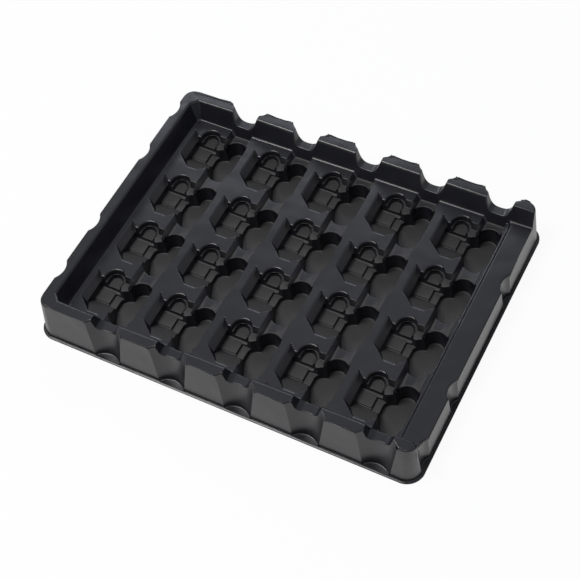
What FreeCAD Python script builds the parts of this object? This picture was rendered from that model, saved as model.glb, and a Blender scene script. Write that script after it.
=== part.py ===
"""Thermoformed component tray: one vacuum-formed plastic sheet with five columns of four pockets.

Frame: millimetres, +X along the row of five columns, +Y towards the back, +Z up. The origin is
the middle of the bounding box at the level the tray stands on. The sheet is the space under its
upper skin less the space under its lower skin, and both skins are made by the same functions:
skin 0 is the upper face, skin 1 the lower face, one sheet thickness further down.
"""
import FreeCAD, Part
import math
import os

V = FreeCAD.Vector

# ---- sheet -----------------------------------------------------------------------------------
sheet = 0.9            # sheet thickness after forming
draft = 8.0            # draft of the pocket walls, degrees from vertical
wall_draft = 5.6       # draft of the outer wall
soft_draft = 21.0      # draft of the gentler pocket walls
over = 1.0             # how far a pocket's cutter stands above the land

# ---- pocket pattern --------------------------------------------------------------------------
columns = 5
rows = 4
pitch_x = 60.0
pitch_y = 55.6
cell_mid = (23.25, -14.1)   # middle of one pocket's own area, from its arch point

# ---- levels above the standing plane ---------------------------------------------------------
rim_z = 40.8           # top of the raised rim
trough_z = 28.8        # bottom of the finger troughs in the rim
side_z = 26.4          # low rim on the right
land_z = 23.4          # flat land between the pockets
valley_z = 18.6        # shallow valley along each column
shelf_z = 18.0         # shelf inside the arch
ledge_z = 17.2         # small ledge beside the arch
ramp_z = 17.4          # foot of the left ramp
seat_z = 14.4          # seat inside the arch
pad_z = 10.8           # main pad
toe_z = 9.6            # foot of the front ramp
small_z = 8.4          # small pad
well_z = 3.6           # bottom of the deep well

# ---- outer shape -----------------------------------------------------------------------------
length = 344.0         # over the base flange, X
width = 267.0          # over the base flange, Y
flange = 2.1           # width of the base flange
corner_r = 15.0        # outer corner radius at the flange
rim_width = 9.3        # flat top of the rim
rim_draft = 21.0       # inner side of the rim, degrees from vertical
basin_corner = 6.0     # corner cut of the land basin
side_width = 18.0      # flat top of the low rim on the right

# ---- finger troughs and alcoves in the front and back rim ------------------------------------
trough_mid = 38.7      # trough centre from the arch point, X
trough_w = 26.0        # width at the top of the rim
trough_low_w = 19.0    # width at the bottom, between the sides' straight lines
trough_r = 6.0         # radius of the trough's bottom corners
alcove_r = 11.7        # radius at the foot of the half-round alcove outside each trough
alcove_depth = 8.7     # how far the alcove reaches in from the flange edge, at its foot
alcove_draft = 8.9

# ---- shallow grooves in the side walls -------------------------------------------------------
groove_y = (96.6, 43.2, -43.2, -96.6)
groove_r = 10.9
groove_depth = 3.0

# ---- one pocket, measured from its arch point ------------------------------------------------
arch_mid = (14.7, -1.8)
arch_r = 8.8
seat_mid = (14.1, -0.6)
seat_r = 6.4
seat_front_y = -4.2
pad_x = (2.4, 22.2)
pad_y = (-21.0, -4.9)
small_x = (16.9, 23.6)
small_y = (-20.0, -8.1)
ramp_line = ((-2.7, 1.0), (-2.7, -27.1), (2.0, -31.1), (8.0, -31.1), (8.0, -8.2))
ramp_foot_x = 2.4
front_line = ((2.0, -31.1), (9.3, -37.4), (14.0, -38.4), (20.0, -37.6), (28.0, -32.0))
front_y = (-37.8, -20.1)    # the front ramp's line at the land, and its foot
facet_x = (19.6, 28.6)
facet_y = (-6.0, 3.7)
facet_draft = 24.0
valley_x = (27.6, 48.0)
valley_draft = (37.0, 16.0)
well_right_x = 49.7
lobe_r = (10.0, 13.0, 11.5)              # radii at the land: back, middle and front lobe
lobe_y = (-2.6, -15.9, -29.4)
middle_lobe_x = 33.6
step_line = ((34.0, -20.0), (34.0, -7.6), (26.6, -7.6), (23.5, -11.0), (23.5, -20.0))


def tan(a):
    return math.tan(math.radians(a))


def thick(a, skin):
    """Sideways distance from the upper face to this skin on a wall of draft a."""
    return skin * sheet / math.cos(math.radians(a))


def offset(points, dists):
    """Move side i of a counter-clockwise outline out by dists[i]; side i runs to the next point."""
    n = len(points)
    sides = []
    for i in range(n):
        (ax, ay), (bx, by) = points[i], points[(i + 1) % n]
        size = math.hypot(bx - ax, by - ay)
        sides.append(((by - ay) / size, (ax - bx) / size))
    out = []
    for i in range(n):
        (ux, uy), (wx, wy) = sides[i - 1], sides[i]
        d, e, det = dists[i - 1], dists[i], ux * wy - uy * wx
        out.append((points[i][0] + (d * wy - e * uy) / det, points[i][1] + (e * ux - d * wx) / det))
    return out


def flat(loop):
    return Part.Face(Part.makePolygon(loop + loop[:1]))


def solid(low, high):
    """Closed solid between two counter-clockwise outlines whose sides are parallel in pairs."""
    faces = [flat(low[::-1]), flat(high)]
    for i in range(len(low)):
        j = (i + 1) % len(low)
        faces.append(flat([low[i], low[j], high[j], high[i]]))
    shell = Part.Shell(faces)
    shell.sewShape()
    return Part.Solid(shell)


def block(points, drafts, z0, z_ref, z1, skin):
    """Drafted block whose outline holds at z_ref; a single draft serves every side."""
    if not isinstance(drafts, (tuple, list)):
        drafts = [drafts] * len(points)
    rings = []
    for z in (z0 - skin * sheet, z1):
        ring = offset(points, [(z - z_ref) * tan(a) + thick(a, skin) for a in drafts])
        rings.append([V(x, y, z) for x, y in ring])
    return solid(*rings)


def rect(x0, x1, y0, y1):
    return [(x0, y0), (x1, y0), (x1, y1), (x0, y1)]


def cone(mid, r, a, z0, z_ref, z1, skin):
    """Drafted round cutter whose radius holds at z_ref."""
    low = z0 - skin * sheet
    r0, r1 = (r + (z - z_ref) * tan(a) + thick(a, skin) for z in (low, z1))
    return Part.makeCone(r0, r1, z1 - low, V(mid[0], mid[1], low))


def fuse(shapes):
    return shapes[0].multiFuse(shapes[1:]).removeSplitter()


# ---- one pocket ------------------------------------------------------------------------------
def lobes():
    """Centre and land radius of the well's back, middle and front lobes."""
    back = ((well_right_x - lobe_r[0], lobe_y[0]), lobe_r[0])
    middle = ((middle_lobe_x, lobe_y[1]), lobe_r[1])
    front = ((well_right_x - lobe_r[2], lobe_y[2]), lobe_r[2])
    return back, middle, front


def tangent(a, ra, b, rb):
    """Direction square to the line that touches both circles on the right of a to b."""
    dx, dy = b[0] - a[0], b[1] - a[1]
    gap = math.hypot(dx, dy)
    turn = math.atan2(dy, dx) - math.acos((ra - rb) / gap)
    return math.cos(turn), math.sin(turn)


def web(one, two, skin):
    """Straight drafted wall that joins two lobes on the right of one to two."""
    (a, ra), (b, rb) = one, two
    nx, ny = tangent(a, ra, b, rb)
    rings = []
    for z in (well_z - skin * sheet, land_z + over):
        grow = (z - land_z) * tan(draft) + thick(draft, skin)
        ring = [a, (a[0] + nx * (ra + grow), a[1] + ny * (ra + grow)),
                (b[0] + nx * (rb + grow), b[1] + ny * (rb + grow)), b]
        rings.append([V(x, y, z) for x, y in ring])
    return solid(*rings)


def well(skin):
    back, middle, front = lobes()
    top = land_z + over
    cuts = [cone(mid, r, draft, well_z, land_z, top, skin) for mid, r in (back, middle, front)]
    core = [V(x, y, well_z - skin * sheet) for (x, y), r in (back, middle, front)]
    cuts.append(flat(core).extrude(V(0, 0, top - well_z + skin * sheet)))
    cuts.append(web(middle, front, skin))
    cuts.append(web(front, back, skin))
    cuts.append(block(step_line, (0, 0, draft, draft, 0), well_z, small_z, top, skin))
    return cuts


def arch(skin):
    """Arched recess with a lower round seat, open to the front."""
    top = land_z + over
    half = arch_r * 0.5
    x, y = arch_mid
    u, v = seat_mid
    mouth = rect(x - arch_r, x + arch_r, seat_front_y, y)
    seat = rect(u - seat_r, u + seat_r, seat_front_y - half, v)
    return [cone(arch_mid, arch_r, draft, shelf_z, land_z, top, skin),
            block(mouth, (0, draft, 0, draft), shelf_z, land_z, top, skin),
            cone(seat_mid, seat_r, soft_draft, seat_z, shelf_z, shelf_z + over, skin),
            block(seat, (0, soft_draft, 0, soft_draft), seat_z, shelf_z, shelf_z + over, skin)]


def pads(skin):
    """Main pad with its strip, and the small pad one step lower."""
    main = rect(pad_x[0], pad_x[1], *pad_y)
    small = rect(small_x[0], small_x[1] + 2, *small_y)
    top = land_z + over
    return [block(main, draft, pad_z, ramp_z, top, skin),
            block(small, (draft, 0, draft, draft), small_z, pad_z, top, skin)]


def ramps(skin):
    """Slope along the left side, and the long slope that rises to the front."""
    top = land_z + over
    lean = math.degrees(math.atan((ramp_foot_x - ramp_line[0][0]) / (land_z - ramp_z)))
    left = block(ramp_line, (lean, soft_draft, 0, 0, draft), ramp_z, land_z, top, skin)
    outline = [(28.0, -19.0), (2.0, -19.0)] + list(front_line)
    walls = block(outline, (0, draft, soft_draft, soft_draft, soft_draft, soft_draft, 0),
                  toe_z, land_z, top, skin)
    rise = (land_z - toe_z) / (front_y[1] - front_y[0])
    lean = math.degrees(math.atan(1 / rise))
    slope = block(rect(-10, 40, front_y[0], -15), (lean, 0, 0, 0), toe_z, land_z, top, skin)
    return [left, walls.common(slope)]


def facet(skin):
    """Small ledge between the arch and the well, with a leaning back wall."""
    return [block(rect(*facet_x, *facet_y), (0, 0, facet_draft, draft), ledge_z, land_z,
                  land_z + over, skin)]


def pocket(skin):
    return fuse(well(skin) + arch(skin) + pads(skin) + ramps(skin) + facet(skin))


# ---- whole tray ------------------------------------------------------------------------------
def column_x():
    return [(i - (columns - 1) / 2) * pitch_x - cell_mid[0] for i in range(columns)]


def row_y():
    return [(i - (rows - 1) / 2) * pitch_y - cell_mid[1] for i in range(rows)]


def wall(axis):
    """Half size of the outer wall at the standing plane."""
    return (length if axis == "x" else width) / 2 - flange


def rounded(shape, r):
    """Round the four upright corners of a drafted block."""
    edges = [e for e in shape.Edges if abs(e.Vertexes[0].Z - e.Vertexes[1].Z) > 1]
    return shape.makeFillet(r, edges)


def body(skin):
    x, y = wall("x"), wall("y")
    low = -skin * over
    rings = []
    for z in (low, rim_z - skin * sheet):
        inset = z * tan(wall_draft) + thick(wall_draft, skin)
        ring = rect(-x + inset, x - inset, -y + inset, y - inset)
        rings.append([V(u, v, z) for u, v in ring])
    return rounded(solid(*rings), corner_r - flange - skin * sheet)


def rim_edge(axis):
    """Inner edge of the rim's flat top, from the middle of the tray."""
    return wall(axis) - rim_z * tan(wall_draft) - rim_width


def basin(skin):
    """Space inside the rim above the land, and above the low rim on the right."""
    top = rim_z + over
    x, y = rim_edge("x"), rim_edge("y")
    right = wall("x") - side_z * tan(wall_draft) - side_width
    right += (rim_z - side_z) * tan(rim_draft)
    c = basin_corner
    line = [(-x + c, -y), (right - c, -y), (right, -y + c), (right, y - c), (right - c, y),
            (-x + c, y), (-x, y - c), (-x, -y + c)]
    side = rect(0, length, -y, y)
    return [block(line, rim_draft, land_z, rim_z, top, skin),
            block(side, (rim_draft, 0, rim_draft, 0), side_z, rim_z, top, skin)]


def valleys(skin):
    half = rim_edge("y") - (rim_z - land_z) * tan(rim_draft)
    out = []
    for x in column_x():
        line = rect(x + valley_x[0], x + valley_x[1], -half, half)
        out.append(block(line, (rim_draft, valley_draft[1], rim_draft, valley_draft[0]),
                         valley_z, land_z, land_z + over, skin))
    return out


def trough(skin):
    """Rounded trough across the whole tray at X = 0; the parts over the basin cut nothing."""
    a = math.degrees(math.atan((trough_w - trough_low_w) / 2 / (rim_z - trough_z)))
    z0, z1 = trough_z - skin * sheet, rim_z + over
    low, high = (trough_w / 2 + (z - rim_z) * tan(a) + thick(a, skin) for z in (z0, z1))
    y = width / 2
    loop = [V(-low, -y, z0), V(low, -y, z0), V(high, -y, z1), V(-high, -y, z1)]
    bar = flat(loop).extrude(V(0, width, 0))
    edges = [e for e in bar.Edges
             if all(abs(v.Z - z0) < 1e-6 for v in e.Vertexes) and abs(e.tangentAt(0).y) > 0.9]
    return bar.makeFillet(trough_r + skin * sheet, edges)


def alcoves(skin):
    y = width / 2 - alcove_depth + alcove_r
    return [cone((x + trough_mid, s * y), alcove_r, alcove_draft, -over, 0, rim_z + over, skin)
            for x in column_x() for s in (-1, 1)]


def grooves(skin):
    x = wall("x") - groove_depth + groove_r
    return [cone((s * x, y), groove_r, wall_draft, -over, 0, rim_z + over, skin)
            for y in groove_y for s in (-1, 1)]


def under(skin):
    """Everything below one skin."""
    cell = pocket(skin)
    tools = basin(skin) + valleys(skin) + alcoves(skin) + grooves(skin)
    bar = trough(skin)
    tools += [bar.translated(V(x + trough_mid, 0, 0)) for x in column_x()]
    tools += [cell.translated(V(x, y, 0)) for x in column_x() for y in row_y()]
    return body(skin).cut(tools)


def base_flange():
    x, y = length / 2, width / 2
    plate = Part.makeBox(length, width, sheet, V(-x, -y, 0))
    edges = [e for e in plate.Edges if abs(e.Vertexes[0].Z - e.Vertexes[1].Z) > sheet / 2]
    return plate.makeFillet(corner_r, edges)


def tray():
    return under(0).fuse(base_flange()).cut(under(1)).removeSplitter()


if __name__ == "__main__":
    os.makedirs("parts", exist_ok=True)
    shape = tray()
    print("solids", len(shape.Solids), "valid", shape.isValid(), "volume", round(shape.Volume))
    box = shape.BoundBox
    print("size", round(box.XLength, 2), round(box.YLength, 2), round(box.ZLength, 2))
    shape.exportStep("parts/tray.step")
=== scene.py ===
# %% [markdown]
# # A formed component tray
# The object is one sheet of glossy black plastic, heated and drawn over a mould. It has a drafted
# skirt with a thin flange, a raised rim that is notched for the fingers on two sides and low on
# the right, and five columns of four stepped pockets. This lesson forms the upper face of the
# sheet from drafted blocks, as a toolmaker mills the mould, rounds every edge, and then gives the
# sheet its thickness.

import math

import bmesh
import bpy
from mathutils import Euler, Matrix, Vector
from mathutils.bvhtree import BVHTree


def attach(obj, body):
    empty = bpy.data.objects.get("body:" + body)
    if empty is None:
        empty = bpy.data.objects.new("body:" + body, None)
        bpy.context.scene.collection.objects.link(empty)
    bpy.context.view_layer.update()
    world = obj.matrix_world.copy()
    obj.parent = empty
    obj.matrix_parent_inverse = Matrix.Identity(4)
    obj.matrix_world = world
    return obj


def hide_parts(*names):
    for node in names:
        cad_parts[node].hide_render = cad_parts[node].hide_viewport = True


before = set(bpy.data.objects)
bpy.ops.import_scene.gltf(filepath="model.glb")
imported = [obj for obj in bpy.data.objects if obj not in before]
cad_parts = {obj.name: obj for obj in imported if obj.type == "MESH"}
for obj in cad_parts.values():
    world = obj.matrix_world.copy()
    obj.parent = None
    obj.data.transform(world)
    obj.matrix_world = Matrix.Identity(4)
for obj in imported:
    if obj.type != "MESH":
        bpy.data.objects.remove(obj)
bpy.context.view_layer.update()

# %% [markdown]
# ## Sizes
# Everything is set out in millimetres, as on the mould drawing, and turned into metres at the
# end. Heights are measured from the table. A pocket is measured from its arch point, a point
# near its back left corner.

# %% Levels and outer sizes, millimetres
MM = 0.001
SHEET = 0.9
LENGTH, WIDTH, FLANGE = 344.0, 267.0, 2.1
RIM_Z, TROUGH_Z, SIDE_Z, LAND_Z, VALLEY_Z = 40.8, 28.8, 26.4, 23.4, 18.6
SHELF_Z, RAMP_Z, LEDGE_Z, SEAT_Z = 18.0, 17.4, 17.2, 14.4
PAD_Z, TOE_Z, SMALL_Z, WELL_Z = 10.8, 9.6, 8.4, 3.6
DRAFT, SOFT, RIM_DRAFT, WALL_DRAFT = 8.0, 21.0, 21.0, 5.6
CUT = LAND_Z + 1.0
COLUMNS = [(i - 2) * 60.0 - 23.25 for i in range(5)]
ROWS = [(i - 1.5) * 55.6 + 14.1 for i in range(4)]
print("pocket columns at", COLUMNS, "rows at", ROWS)

# %% [markdown]
# ## Outlines made of sides
# A mould block is easiest to describe by its sides: each side is a direction that it faces and
# its distance from the pocket's origin. Moving every side out or in by its own amount gives the
# drafted outline at another height, and the corners follow from where neighbouring sides meet.
# A round end is a fan of sides that all touch one circle.

# %% Helpers for outlines
def slope(degrees):
    return math.tan(math.radians(degrees))


def side(facing, through, draft):
    """One side that faces an angle in degrees and passes through a point."""
    nx, ny = math.cos(math.radians(facing)), math.sin(math.radians(facing))
    return nx, ny, nx * through[0] + ny * through[1], draft


def fan(mid, radius, start, end, count, draft):
    """Sides that touch a circle, from one facing angle to another."""
    sides = []
    for i in range(count):
        angle = start + (end - start) * i / (count - 1)
        nx, ny, d, _ = side(angle, mid, draft)
        sides.append((nx, ny, d + radius, draft))
    return sides


def rect(x0, x1, y0, y1, drafts):
    """Four sides in the order right, back, left, front."""
    points = ((x1, 0), (0, y1), (x0, 0), (0, y0))
    return [side(90 * i, p, d) for i, (p, d) in enumerate(zip(points, drafts))]


def polygon(points, drafts):
    """Sides that run through counter-clockwise points."""
    sides = []
    for i, (ax, ay) in enumerate(points):
        bx, by = points[(i + 1) % len(points)]
        sides.append(side(math.degrees(math.atan2(ax - bx, by - ay)), (ax, ay), drafts[i]))
    return sides


def corners(sides, rise):
    """Corner points of the outline at a height above the one where it was measured."""
    points = []
    for i, (ux, uy, d, a) in enumerate(sides):
        wx, wy, e, b = sides[(i + 1) % len(sides)]
        d, e, det = d + rise * slope(a), e + rise * slope(b), ux * wy - uy * wx
        points.append(((d * wy - e * uy) / det, (e * ux - d * wx) / det))
    return points

# %% [markdown]
# ## Blocks
# One face is drawn through the corners at the lower height and extruded upwards. Each new corner
# then moves to its place in the upper outline, so every wall stays flat and leans by its own
# draft. Round cutters come ready made from the cone operator.

# %% Helpers for blocks
def add_block(bm, sides, z0, z_ref, z1):
    """Drafted block between z0 and z1; its outline holds at z_ref."""
    low, high = corners(sides, z0 - z_ref), corners(sides, z1 - z_ref)
    base = bm.faces.new([bm.verts.new((x, y, z0)) for x, y in low])
    order = {tuple(round(c, 5) for c in v.co): i for i, v in enumerate(base.verts)}
    grown = bmesh.ops.extrude_face_region(bm, geom=[base])["geom"]
    for v in [g for g in grown if isinstance(g, bmesh.types.BMVert)]:
        x, y = high[order[tuple(round(c, 5) for c in v.co)]]
        v.co = (x, y, z1)


def add_cone(bm, mid, radius, draft, z_ref, z0, z1, segments):
    """Round cutter with an upright axis; its radius holds at z_ref."""
    r0, r1 = (radius + (z - z_ref) * slope(draft) for z in (z0, z1))
    place = Matrix.Translation((mid[0], mid[1], (z0 + z1) / 2))
    bmesh.ops.create_cone(bm, cap_ends=True, cap_tris=False, segments=segments,
                          radius1=r0, radius2=r1, depth=z1 - z0, matrix=place)


def new_object(name, bm):
    """Close the bmesh into an object; its faces are turned outwards first."""
    bmesh.ops.recalc_face_normals(bm, faces=bm.faces)
    mesh = bpy.data.meshes.new(name)
    bm.to_mesh(mesh)
    bm.free()
    obj = bpy.data.objects.new(name, mesh)
    bpy.context.scene.collection.objects.link(obj)
    return obj


def combine(target, others, operation):
    """Apply Boolean modifiers one after another, then remove the used cutters."""
    for other in others:
        mod = target.modifiers.new("cut", "BOOLEAN")
        mod.operation, mod.solver, mod.object = operation, "MANIFOLD", other
    bpy.context.view_layer.update()
    graph = bpy.context.evaluated_depsgraph_get()
    mesh = bpy.data.meshes.new_from_object(target.evaluated_get(graph))
    target.modifiers.clear()
    target.data = mesh
    for other in others:
        bpy.data.objects.remove(other)
    print(target.name, operation.lower(), len(mesh.polygons), "faces")
    return target


def cutter(name, sides, z0, z_ref, z1):
    bm = bmesh.new()
    add_block(bm, sides, z0, z_ref, z1)
    return new_object(name, bm)

# %% [markdown]
# ## One pocket
# The real pocket is a stack of seats at different depths: an arch with a round seat, a main pad
# with a small pad beside it, a slope down the left side, a long slope up to the front, and a deep
# well with a heart-shaped floor. Each becomes one drafted block, and their union is the tool that
# cuts the pocket. One outline carries the whole well, so its wall runs round it without a joint.

# %% The well
BACK, MIDDLE, FRONT = ((39.7, -2.6), 10.0), ((33.6, -15.9), 13.0), ((38.2, -29.4), 11.5)
STEP_X = 21.5


def web_angle(one, two):
    """Facing angle of the straight side that touches two circles on their left."""
    (ax, ay), ra = one
    (bx, by), rb = two
    gap = math.hypot(bx - ax, by - ay)
    return math.degrees(math.atan2(by - ay, bx - ax) - math.acos((ra - rb) / gap))


def well_sides():
    left = web_angle(MIDDLE, FRONT) % 360
    start = left + 9
    sides = fan(*BACK, 0, 180, 15, DRAFT)
    sides += fan(*MIDDLE, 102, 150, 4, DRAFT)
    sides.append(side(180, (STEP_X, 0), DRAFT))
    sides += fan(*MIDDLE, left, left + 1, 2, DRAFT)[:1]
    sides += fan(*FRONT, start, 348, int((348 - start) / 12) + 1, DRAFT)
    return sides


well = cutter("well", well_sides(), WELL_Z, LAND_Z, CUT)

# %% The arch and its seat
ARCH, ARCH_R = (14.7, -1.8), 8.8
SEAT, SEAT_R = (14.1, -0.6), 6.4


def arched(mid, radius, draft, front):
    return fan(mid, radius, 0, 180, 15, draft) + [side(270, (0, front), 0)]


arch = cutter("arch", arched(ARCH, ARCH_R, DRAFT, -8.0), SHELF_Z, LAND_Z, CUT)
seat = cutter("seat", arched(SEAT, SEAT_R, SOFT, -8.6), SEAT_Z, SHELF_Z, SHELF_Z + 1)

# %% The pads
main_pad = cutter("main_pad", rect(2.4, 22.2, -21.0, -4.9, [DRAFT] * 4), PAD_Z, RAMP_Z, CUT)
small_pad = cutter("small_pad", rect(16.9, 25.6, -21.0, -8.1, [0, DRAFT, DRAFT, DRAFT]),
                   SMALL_Z, PAD_Z, CUT)

# %% [markdown]
# The left slope ends at two slanting walls. The front one is shared with the front slope, and the
# pad's left wall runs on into it, so those sides are made once and used in both outlines.

# %% The left slope and the ledge
lean = math.degrees(math.atan(5.1 / (LAND_Z - RAMP_Z)))
pad_wall = side(180, (2.4 - (LAND_Z - RAMP_Z) * slope(DRAFT), 0), DRAFT)
front_corner = polygon([(-2.7, -27.1), (9.3, -37.4), (9.3, 0)], (SOFT, 0, 0))[0]
back_corner = polygon([(8.0, -8.2), (-2.7, 1.0), (-2.7, -9)], (DRAFT, 0, 0))[0]
left_sides = [side(0, (4.0, 0), 0), back_corner, side(180, (-2.7, 0), lean), front_corner,
              side(270, (0, -31.1), SOFT)]
left_slope = cutter("left_slope", left_sides, RAMP_Z, LAND_Z, CUT)
ledge = cutter("ledge", rect(21.0, 28.6, -7.6, 3.7, (0, 24.0, 0, 0)), LEDGE_Z, LAND_Z, CUT)

# %% [markdown]
# The front slope rises all the way from the pads to the land, inside a wall with a cut corner.
# Those are two blocks, one with the sloping floor and one with the walls, and the slope is what
# they share.

# %% The front slope
wall_sides = [side(90, (0, -19.0), 0), pad_wall, front_corner]
wall_sides += polygon([(9.6, -38.4), (20.5, -38.4), (28.0, -32.0)], [SOFT] * 3)[:2]
wall_sides.append(side(0, (28.0, 0), 0))
rise = math.degrees(math.atan((38.2 - 20.1) / (LAND_Z - TOE_Z)))
front_slope = cutter("front_slope", wall_sides, TOE_Z, LAND_Z, CUT)
floor_block = cutter("floor_block", rect(-10, 40, -38.2, -15, (0, 0, 0, rise)), TOE_Z, LAND_Z, CUT)
combine(front_slope, [floor_block], "INTERSECT")

# %% The whole pocket tool
pocket = combine(well, [arch, seat, main_pad, small_pad, left_slope, ledge, front_slope], "UNION")
pocket.name = "pocket"

# %% [markdown]
# ## The body and its large cuts
# The body is one drafted block with round corners on a thin plate, whose top is the flange. The
# basin inside the rim, the low rim on the right, the valleys along the columns, the finger
# troughs, the half-round alcoves outside them and the grooves in the side walls are cut from it.

# %% The body
WALL_X, WALL_Y = LENGTH / 2 - FLANGE, WIDTH / 2 - FLANGE
CORNER = 13.0


def rounded(x, y, radius, draft):
    """Rectangle with round corners; the corner keeps its radius all the way up."""
    sides = []
    for i, (sx, sy) in enumerate(((1, 1), (-1, 1), (-1, -1), (1, -1))):
        mid = (sx * (x - radius), sy * (y - radius))
        sides += fan(mid, radius, 90 * i, 90 * i + 90, 9, draft)[:-1]
    return sides


body = cutter("body", rounded(WALL_X, WALL_Y, CORNER, -WALL_DRAFT), -2.0, 0.0, RIM_Z)
plate = cutter("plate", rounded(LENGTH / 2, WIDTH / 2, CORNER + FLANGE, 0), -4.0, 0.0, SHEET)
combine(body, [plate], "UNION")

# %% The basin, the low rim and the valleys
RIM_X = WALL_X - RIM_Z * slope(WALL_DRAFT) - 9.3
RIM_Y = WALL_Y - RIM_Z * slope(WALL_DRAFT) - 9.3
EDGE_X = WALL_X - SIDE_Z * slope(WALL_DRAFT) - 18.0 + (RIM_Z - SIDE_Z) * slope(RIM_DRAFT)
CHAMFER = 6.0
TOP = RIM_Z + 1.0


def basin_sides():
    c = CHAMFER
    line = [(-RIM_X + c, -RIM_Y), (EDGE_X - c, -RIM_Y), (EDGE_X, -RIM_Y + c), (EDGE_X, RIM_Y - c),
            (EDGE_X - c, RIM_Y), (-RIM_X + c, RIM_Y), (-RIM_X, RIM_Y - c), (-RIM_X, -RIM_Y + c)]
    return polygon(line, [RIM_DRAFT] * 8)


basin = cutter("basin", basin_sides(), LAND_Z, RIM_Z, TOP)
low_rim = cutter("low_rim", rect(0, LENGTH, -RIM_Y, RIM_Y, (0, RIM_DRAFT, 0, RIM_DRAFT)),
                 SIDE_Z, RIM_Z, TOP)
half = RIM_Y - (RIM_Z - LAND_Z) * slope(RIM_DRAFT)
bm = bmesh.new()
for x in COLUMNS:
    add_block(bm, rect(x + 27.6, x + 48.0, -half, half, (16.0, RIM_DRAFT, 37.0, RIM_DRAFT)),
              VALLEY_Z, LAND_Z, CUT)
valleys = new_object("valleys", bm)

# %% The troughs, alcoves and grooves
TROUGH_X = 38.7


def trough_profile():
    """Half-round section of a trough, as sides seen along the tray's width."""
    lean_angle = math.degrees(math.atan(3.5 / (RIM_Z - TROUGH_Z)))
    sides = fan((3.9, TROUGH_Z + 6.0), 6.0, -90, -lean_angle, 7, 0)
    sides.append(side(90, (0, TOP), 0))
    sides += fan((-3.9, TROUGH_Z + 6.0), 6.0, 180 + lean_angle, 270, 7, 0)
    return sides[:-1]


bm = bmesh.new()
for x in COLUMNS:
    ring = [bm.verts.new((x + TROUGH_X + u, -WIDTH / 2, z)) for u, z in corners(trough_profile(), 0)]
    grown = bmesh.ops.extrude_face_region(bm, geom=[bm.faces.new(ring)])["geom"]
    verts = [g for g in grown if isinstance(g, bmesh.types.BMVert)]
    bmesh.ops.translate(bm, verts=verts, vec=(0, WIDTH, 0))
troughs = new_object("troughs", bm)

bm = bmesh.new()
ALCOVE_R, ALCOVE_DEPTH, ALCOVE_DRAFT = 14.8, 7.7, 8.9
GROOVE_R, GROOVE_DEPTH = 10.9, 3.0
GROOVES = {-1: (101.0, 47.0, -37.0, -90.0), 1: (52.5, -55.5, -111.5)}
for x in COLUMNS:
    for facing, shift in ((-1, 1.3), (1, 0.0)):
        mid = (x + TROUGH_X + shift, facing * (WIDTH / 2 - ALCOVE_DEPTH + ALCOVE_R))
        add_cone(bm, mid, ALCOVE_R, ALCOVE_DRAFT, 0, SHEET, TOP, 64)
for facing, places in GROOVES.items():
    for y in places:
        mid = (facing * (WALL_X - GROOVE_DEPTH + GROOVE_R), y)
        add_cone(bm, mid, GROOVE_R, WALL_DRAFT, 0, SHEET, TOP, 48)
alcoves = new_object("alcoves", bm)

# %% Cut the body
combine(body, [basin, low_rim, valleys, alcoves, troughs], "DIFFERENCE")

# %% [markdown]
# ## Twenty pockets
# The pocket tool is copied to each place and all twenty are cut at once.

# %% Cut the pockets
bm = bmesh.new()
for x in COLUMNS:
    for y in ROWS:
        copy = bmesh.new()
        copy.from_mesh(pocket.data)
        bmesh.ops.translate(copy, verts=copy.verts, vec=(x, y, 0))
        spare = bpy.data.meshes.new("spare")
        copy.to_mesh(spare)
        copy.free()
        bm.from_mesh(spare)
        bpy.data.meshes.remove(spare)
pockets = new_object("pockets", bm)
combine(body, [pockets], "DIFFERENCE")
bpy.data.objects.remove(pocket)

# %% [markdown]
# ## Soft edges
# A drawn sheet has no sharp corner anywhere: each bend is about as round as the sheet is thick,
# and rounder where the mould was rounded. Every bend is therefore bevelled. Its radius comes from
# where it is, and it is held back where a neighbouring edge is short, so no two roundings meet.

# %% Keep only the upper face
bm = bmesh.new()
bm.from_mesh(body.data)
bmesh.ops.remove_doubles(bm, verts=bm.verts, dist=0.12)
bmesh.ops.dissolve_limit(bm, angle_limit=math.radians(1.5), verts=bm.verts, edges=bm.edges)
below = [f for f in bm.faces if f.calc_center_median().z < SHEET - 0.05]
bmesh.ops.delete(bm, geom=below, context="FACES")
print("upper face:", len(bm.faces), "faces")

# %% Choose a radius for every bend
SMALL_BENDS = [
    (6.0, 22.5, -9.5, 7.5, 13.0, 18.6, 0.25),
    (22.0, 25.0, -22.0, -6.5, 7.0, 12.0, 0.2),
    (19.5, 29.6, -9.0, 5.5, 16.5, 24.0, 0.3),
    (26.0, 29.6, -60.0, 60.0, 18.0, 24.0, 0.35),
    (43.5, 51.0, -60.0, 60.0, 18.0, 24.0, 0.35),
    (-4.0, 3.0, -1.0, 2.5, 16.5, 24.0, 0.4),
    (-2.0, 4.0, -36.0, -29.0, 9.0, 24.0, 0.5),
]


def wanted_radius(edge):
    """Radius of the bend, millimetres, from its height and place."""
    a, b = (v.co for v in edge.verts)
    mid = (a + b) / 2
    low, high = min(a.z, b.z), max(a.z, b.z)
    outside = abs(mid.x) > WALL_X - 14 or abs(mid.y) > RIM_Y - 8
    if outside:
        if high < SHEET + 0.5:
            return 0.8
        return 0.6 if TROUGH_Z - 2 < low and high < RIM_Z - 1 else 1.6
    u = mid.x - min(COLUMNS, key=lambda c: abs(mid.x - 21 - c))
    v = mid.y - min(ROWS, key=lambda r: abs(mid.y + 12 - r))
    for x0, x1, y0, y1, z0, z1, radius in SMALL_BENDS:
        if x0 < u < x1 and y0 < v < y1 and z0 < mid.z < z1:
            return radius
    return 1.3 if low > LAND_Z - 0.3 else 0.9


def bend(edge):
    return edge.calc_face_angle(0.0) if len(edge.link_faces) == 2 else 0.0


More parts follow.
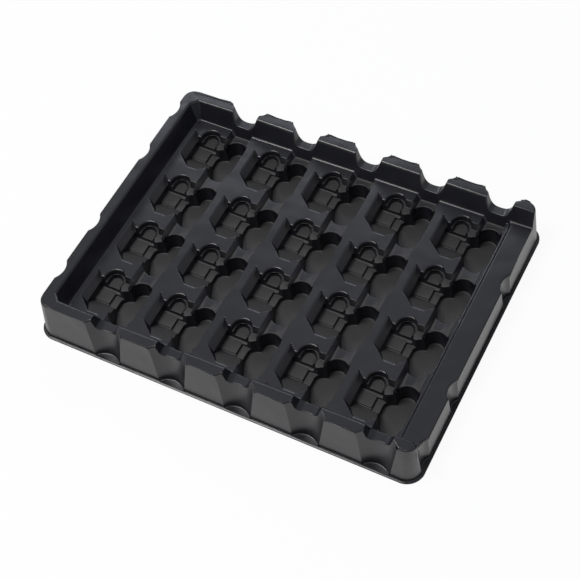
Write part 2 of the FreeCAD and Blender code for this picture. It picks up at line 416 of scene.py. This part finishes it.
def room(edge):
    """Largest radius that the other edges at both ends leave for this bend."""
    best = 9.0
    for v in edge.verts:
        along = (edge.other_vert(v).co - v.co).normalized()
        for other in v.link_edges:
            if other is edge:
                continue
            way = other.other_vert(v).co - v.co
            turn = along.angle(way)
            if math.radians(20) < turn < math.radians(160):
                best = min(best, 0.46 * way.length * math.sin(turn))
    return best


weights = bm.edges.layers.float.get("bevel_weight_edge") or bm.edges.layers.float.new("bevel_weight_edge")
WIDEST = 2.0
sharp = [e for e in bm.edges if bend(e) > math.radians(17)]
for edge in sharp:
    edge[weights] = min(wanted_radius(edge), room(edge)) / WIDEST
print(len(sharp), "bends")
bm.to_mesh(body.data)
bm.free()

# %% [markdown]
# ## Round the bends
# The Bevel modifier rounds each bend by its own weight. Where a hollow bend and a proud bend meet
# in one corner, a rounded corner can land well off the sheet. Such a stray corner is put back on
# the nearest point of the unrounded face.

# %% Round the bends
rounding = body.modifiers.new("rounding", "BEVEL")
rounding.limit_method, rounding.width, rounding.segments = "WEIGHT", WIDEST, 3
rounding.profile, rounding.use_clamp_overlap, rounding.loop_slide = 0.5, False, True
sharp_face = BVHTree.FromPolygons([v.co for v in body.data.vertices],
                                  [p.vertices[:] for p in body.data.polygons])
bpy.context.view_layer.update()
graph = bpy.context.evaluated_depsgraph_get()
bm = bmesh.new()
bm.from_mesh(body.evaluated_get(graph).to_mesh())
bmesh.ops.triangulate(bm, faces=bm.faces)
strays = 0
for v in bm.verts:
    place, _, _, gap = sharp_face.find_nearest(v.co)
    if gap > 0.6:
        v.co = place
        strays += 1
print("put back", strays, "stray corners of", len(bm.verts))
bmesh.ops.remove_doubles(bm, verts=bm.verts, dist=0.01)

# %% [markdown]
# ## Give the sheet its thickness
# Solidify lays the lower face one sheet thickness below the upper one. It is applied, so the
# finished piece is a plain closed mesh, and it is scaled from millimetres to metres.

# %% Finish the sheet
tray = new_object("formed_tray", bm)
bpy.data.objects.remove(body)
thickness = tray.modifiers.new("thickness", "SOLIDIFY")
thickness.thickness, thickness.offset, thickness.use_even_offset = SHEET, -1.0, False
bpy.context.view_layer.update()
graph = bpy.context.evaluated_depsgraph_get()
finished = bpy.data.meshes.new_from_object(tray.evaluated_get(graph))
tray.modifiers.clear()
tray.data = finished
for v in tray.data.vertices:
    v.co = [max(-edge, min(edge, c)) for c, edge in zip(v.co, (LENGTH / 2, WIDTH / 2, RIM_Z))]
    v.co.z = max(v.co.z, 0.0)
tray.data.transform(Matrix.Scale(MM, 4))
for face in tray.data.polygons:
    face.use_smooth = True
flats = tray.modifiers.new("flats", "WEIGHTED_NORMAL")
flats.weight, flats.keep_sharp = 90, False
bpy.context.view_layer.update()
graph = bpy.context.evaluated_depsgraph_get()
tray.data = finished = bpy.data.meshes.new_from_object(tray.evaluated_get(graph))
tray.modifiers.clear()
print("finished sheet:", sum(len(f.vertices) - 2 for f in finished.polygons), "triangles")
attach(tray, "root")
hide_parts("tray")

# %% [markdown]
# ## Shader maths as Python
# A small class wraps a socket so that masks can be written as sums and products.

# %% The socket wrapper
class Shade:
    """One socket of a material, with Python's operators adding the nodes."""

    def __init__(self, tree, socket):
        self.tree, self.socket = tree, socket

    def node(self, kind, settings=None, **inputs):
        made = self.tree.nodes.new(kind)
        for key, value in (settings or {}).items():
            if key == "stops":
                ramp = made.color_ramp
                while len(ramp.elements) < len(value):
                    ramp.elements.new(0.5)
                for element, (at, colour) in zip(ramp.elements, value):
                    element.position, element.color = at, colour
            else:
                setattr(made, key, value)
        for key, value in inputs.items():
            name = int(key[1:]) if key[0] == "i" and key[1:].isdigit() else key.replace("_", " ")
            slot = made.inputs[name]
            if isinstance(value, Shade):
                self.tree.links.new(value.socket, slot)
            else:
                slot.default_value = value
        return made

    def math(self, operation, *values):
        made = self.node("ShaderNodeMath", {"operation": operation},
                         **{f"i{i}": v for i, v in enumerate(values)})
        return Shade(self.tree, made.outputs[0])

    def __add__(self, other):
        return self.math("ADD", self, other)

    def __radd__(self, other):
        return self.math("ADD", other, self)

    def __sub__(self, other):
        return self.math("SUBTRACT", self, other)

    def __rsub__(self, other):
        return self.math("SUBTRACT", other, self)

    def __mul__(self, other):
        return self.math("MULTIPLY", self, other)

    def __rmul__(self, other):
        return self.math("MULTIPLY", other, self)

    def clamp(self, low, high):
        return self.math("MINIMUM", self.math("MAXIMUM", self, low), high)

    def step(self, low, high):
        """0 below low, 1 above high, and a straight line between."""
        made = self.node("ShaderNodeMapRange", {"clamp": True}, Value=self, From_Min=low, From_Max=high)
        return Shade(self.tree, made.outputs["Result"])

    def mix(self, first, second):
        """Colour between two others, with this value as the share of the second."""
        made = self.node("ShaderNodeMix", {"data_type": "RGBA"}, i0=self, i6=first, i7=second)
        return Shade(self.tree, made.outputs[2])

# %% [markdown]
# ## The plastic
# High-impact polystyrene sheet is near black with a slight violet cast and a semi-gloss skin. The
# mould leaves the pads and the bottoms of the wells duller and browner, because there the sheet was
# drawn thinnest against a blasted surface. Long low waves in the skin bend the reflections.

# %% The sheet material
def sheet_material():
    material = bpy.data.materials.new("black_sheet")
    material.use_nodes = True
    tree = material.node_tree
    tree.nodes.clear()
    output = tree.nodes.new("ShaderNodeOutputMaterial")
    shader = tree.nodes.new("ShaderNodeBsdfPrincipled")
    tree.links.new(shader.outputs[0], output.inputs[0])
    where = tree.nodes.new("ShaderNodeTexCoord").outputs["Object"]
    place = Shade(tree, where)

    def noise(scale, detail, rough=0.5):
        made = place.node("ShaderNodeTexNoise", None, Vector=place, Scale=scale, Detail=detail,
                          Roughness=rough)
        return Shade(tree, made.outputs["Fac"])

    inside = Shade(tree, tree.nodes.new("ShaderNodeAttribute").outputs["Fac"])
    inside.socket.node.attribute_name = "seats"
    dull = inside
    cloud = noise(14.0, 4.0)
    grain = noise(900.0, 2.0)
    fine = noise(2600.0, 2.0)
    tone = (dull * 0.85 + cloud * 0.3 - 0.1).clamp(0.0, 1.0)
    colour = tone.mix((0.0050, 0.0052, 0.0085, 1), (0.022, 0.020, 0.019, 1))
    tree.links.new(colour.socket, shader.inputs["Base Color"])
    rough = (0.24 + cloud * 0.10 + dull * 0.26 + grain * 0.05).clamp(0.05, 0.9)
    tree.links.new(rough.socket, shader.inputs["Roughness"])
    shader.inputs["IOR"].default_value = 1.55
    wave = noise(22.0, 2.0) * 1.0
    bump = place.node("ShaderNodeBump", None, Height=wave * 0.0016 + grain * (0.00002 + dull * 0.00006),
                      Strength=1.0, Distance=1.0)
    tree.links.new(bump.outputs["Normal"], shader.inputs["Normal"])
    return material


tray.data.materials.clear()
tray.data.materials.append(sheet_material())

# %% [markdown]
# Only the floors of the pads, seats and wells are dull. They are found by what they are: faces
# inside the rim, well below the land, that look upwards. Their corners carry a mask of 1.

# %% Mark the dull floors
mask = tray.data.attributes.new("seats", "FLOAT", "POINT")
marked = set()
for face in tray.data.polygons:
    x, y, z = face.center / MM
    if face.normal.z > 0.75 and z < 22.0 and abs(x) < RIM_X and abs(y) < RIM_Y and z > SHEET + 0.5:
        if z < PAD_Z + 6.0 or face.normal.z < 0.97:
            marked.update(face.vertices)
for index in marked:
    mask.data[index].value = 1.0
print("dull points:", len(marked))

# %% [markdown]
# ## Floor, light and camera
# The tray stands on a seamless white floor. A large soft light hangs above it and a weaker one
# behind, so the bends catch thin bright lines while the flat land stays dark. The floor shows
# plain white to the camera and in reflections, and it still takes the shadow.

# %% The floor
bm = bmesh.new()
bmesh.ops.create_grid(bm, x_segments=1, y_segments=1, size=4.0)
floor = new_object("floor", bm)


def floor_material():
    material = bpy.data.materials.new("white_floor")
    material.use_nodes = True
    tree = material.node_tree
    tree.nodes.clear()
    output = tree.nodes.new("ShaderNodeOutputMaterial")
    diffuse = tree.nodes.new("ShaderNodeBsdfDiffuse")
    diffuse.inputs["Color"].default_value = (0.80, 0.80, 0.80, 1)
    glow = tree.nodes.new("ShaderNodeEmission")
    glow.inputs["Color"].default_value = (1, 1, 1, 1)
    glow.inputs["Strength"].default_value = 1.0
    path = tree.nodes.new("ShaderNodeLightPath")
    mix = tree.nodes.new("ShaderNodeMixShader")
    seen = Shade(tree, path.outputs["Is Camera Ray"]) + Shade(tree, path.outputs["Is Glossy Ray"])
    shown = (seen + Shade(tree, path.outputs["Is Transmission Ray"])).clamp(0.0, 1.0) * 0.93
    tree.links.new(shown.socket, mix.inputs[0])
    tree.links.new(diffuse.outputs[0], mix.inputs[1])
    tree.links.new(glow.outputs[0], mix.inputs[2])
    tree.links.new(mix.outputs[0], output.inputs[0])
    return material


floor.data.materials.append(floor_material())

# %% The world
world = bpy.data.worlds.new("studio")
bpy.context.scene.world = world
world.use_nodes = True
tree = world.node_tree
background = tree.nodes["Background"]
background.inputs["Color"].default_value = (0.93, 0.95, 1.0, 1)
background.inputs["Strength"].default_value = 0.45

# %% The lamps
def area_light(name, place, aim, size, power, colour):
    data = bpy.data.lights.new(name, "AREA")
    data.shape, data.size, data.size_y = "RECTANGLE", size[0], size[1]
    data.energy, data.color = power, colour
    lamp = bpy.data.objects.new(name, data)
    bpy.context.scene.collection.objects.link(lamp)
    lamp.location = place
    lamp.rotation_euler = (Vector(aim) - Vector(place)).to_track_quat("-Z", "Y").to_euler()
    return lamp


area_light("top_light", (-0.55, -0.5, 1.5), (0, 0, 0), (0.75, 0.6), 17.0, (1.0, 0.99, 0.98))
area_light("back_light", (-0.7, 1.5, 1.1), (0, 0, 0), (1.4, 0.5), 9.0, (0.86, 0.89, 1.0))

# %% The camera
EYE = Vector((0.35727, -0.55956, 0.93673))
TURN = Euler([math.radians(a) for a in (34.787, 4.199, 26.849)])
lens = bpy.data.cameras.new("camera")
lens.lens, lens.sensor_width = 84.85, 36.0
lens.clip_start, lens.clip_end = 0.01, 50.0
camera = bpy.data.objects.new("camera", lens)
bpy.context.scene.collection.objects.link(camera)
camera.location, camera.rotation_euler = EYE, TURN
bpy.context.scene.camera = camera
view = bpy.context.scene.view_settings
view.view_transform = "Standard"
